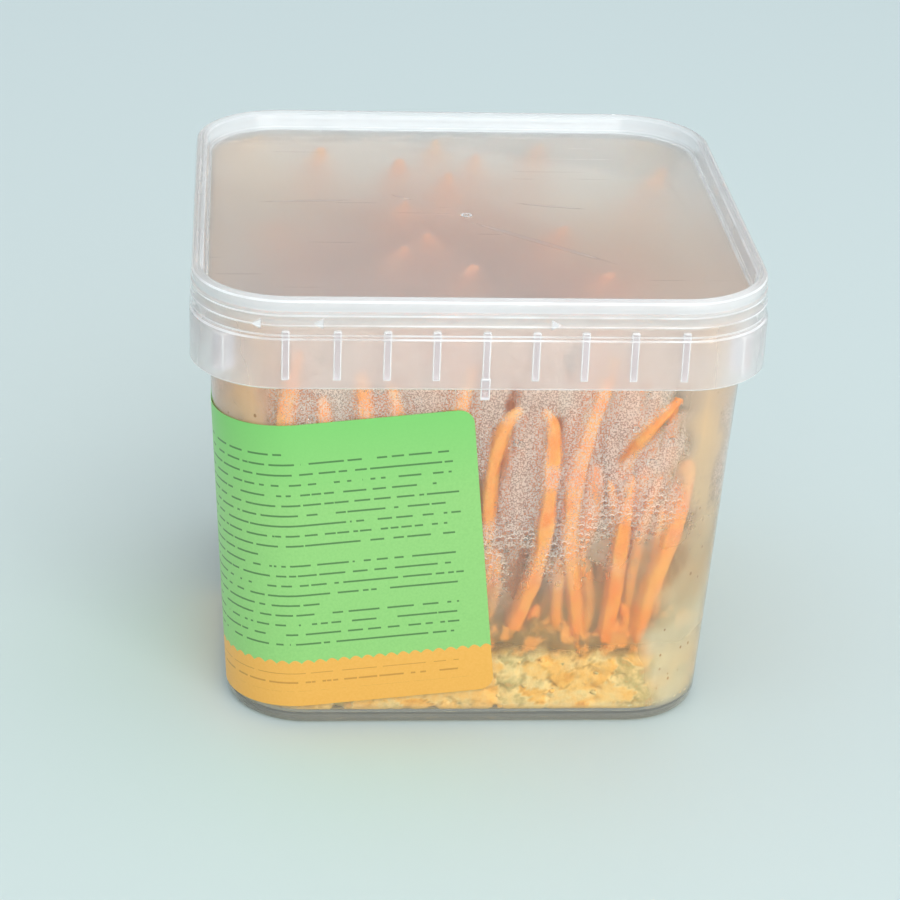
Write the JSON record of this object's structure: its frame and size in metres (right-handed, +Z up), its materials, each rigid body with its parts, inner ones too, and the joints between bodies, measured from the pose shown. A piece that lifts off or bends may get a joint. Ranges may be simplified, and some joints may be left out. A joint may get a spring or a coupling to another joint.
{
  "type": "lidded tub of cordyceps",
  "caption": "Square translucent plastic tub with a push-on lid, in which orange club-shaped cordyceps stalks grow from a bed of grain.",
  "frame": {"origin": "on the resting surface under the middle of the tub", "axes": "+Z up from the tub's foot to the lid, the side with most of the label faces -Y, +X to its right"},
  "size_m": [0.13, 0.13, 0.111],
  "materials": {
    "tub_plastic": "clear to slightly cloudy polypropylene, fogged with condensation inside",
    "lid_plastic": "translucent, milky polypropylene with a satin surface",
    "label_film": "printed film, green with an orange lower band, blank",
    "grain_bed": "moist cooked grain grown through with pale mycelium",
    "stalk_flesh": "matt, slightly waxy orange flesh, finely pitted"
  },
  "bodies": {
    "root": {"tub": "tub_plastic", "lid": "lid_plastic", "label": "label_film", "grain_bed": "grain_bed", "stalk_01": "stalk_flesh", "stalk_02": "stalk_flesh", "stalk_03": "stalk_flesh", "stalk_04": "stalk_flesh", "stalk_05": "stalk_flesh", "stalk_06": "stalk_flesh", "stalk_07": "stalk_flesh", "stalk_08": "stalk_flesh", "stalk_09": "stalk_flesh", "stalk_10": "stalk_flesh", "stalk_11": "stalk_flesh", "stalk_12": "stalk_flesh", "stalk_13": "stalk_flesh", "stalk_14": "stalk_flesh", "stalk_15": "stalk_flesh", "stalk_16": "stalk_flesh", "stalk_17": "stalk_flesh", "stalk_18": "stalk_flesh", "stalk_19": "stalk_flesh", "stalk_20": "stalk_flesh", "stalk_21": "stalk_flesh", "stalk_22": "stalk_flesh", "stalk_23": "stalk_flesh", "stalk_24": "stalk_flesh", "stalk_25": "stalk_flesh", "stalk_26": "stalk_flesh", "stalk_27": "stalk_flesh", "stalk_28": "stalk_flesh", "stalk_29": "stalk_flesh", "stalk_30": "stalk_flesh", "stalk_31": "stalk_flesh", "stalk_32": "stalk_flesh", "stalk_33": "stalk_flesh", "stalk_34": "stalk_flesh", "stalk_35": "stalk_flesh", "stalk_36": "stalk_flesh", "stalk_37": "stalk_flesh", "stalk_38": "stalk_flesh", "stalk_39": "stalk_flesh", "stalk_40": "stalk_flesh", "stalk_41": "stalk_flesh", "stalk_42": "stalk_flesh", "stalk_43": "stalk_flesh", "stalk_44": "stalk_flesh", "stalk_45": "stalk_flesh", "young_tuft_01": "stalk_flesh", "young_tuft_02": "stalk_flesh", "young_tuft_03": "stalk_flesh", "young_tuft_04": "stalk_flesh", "young_tuft_05": "stalk_flesh", "young_tuft_06": "stalk_flesh", "young_tuft_07": "stalk_flesh", "young_tuft_08": "stalk_flesh", "young_tuft_09": "stalk_flesh", "young_tuft_10": "stalk_flesh", "young_tuft_11": "stalk_flesh"}
  },
  "joints": []
}
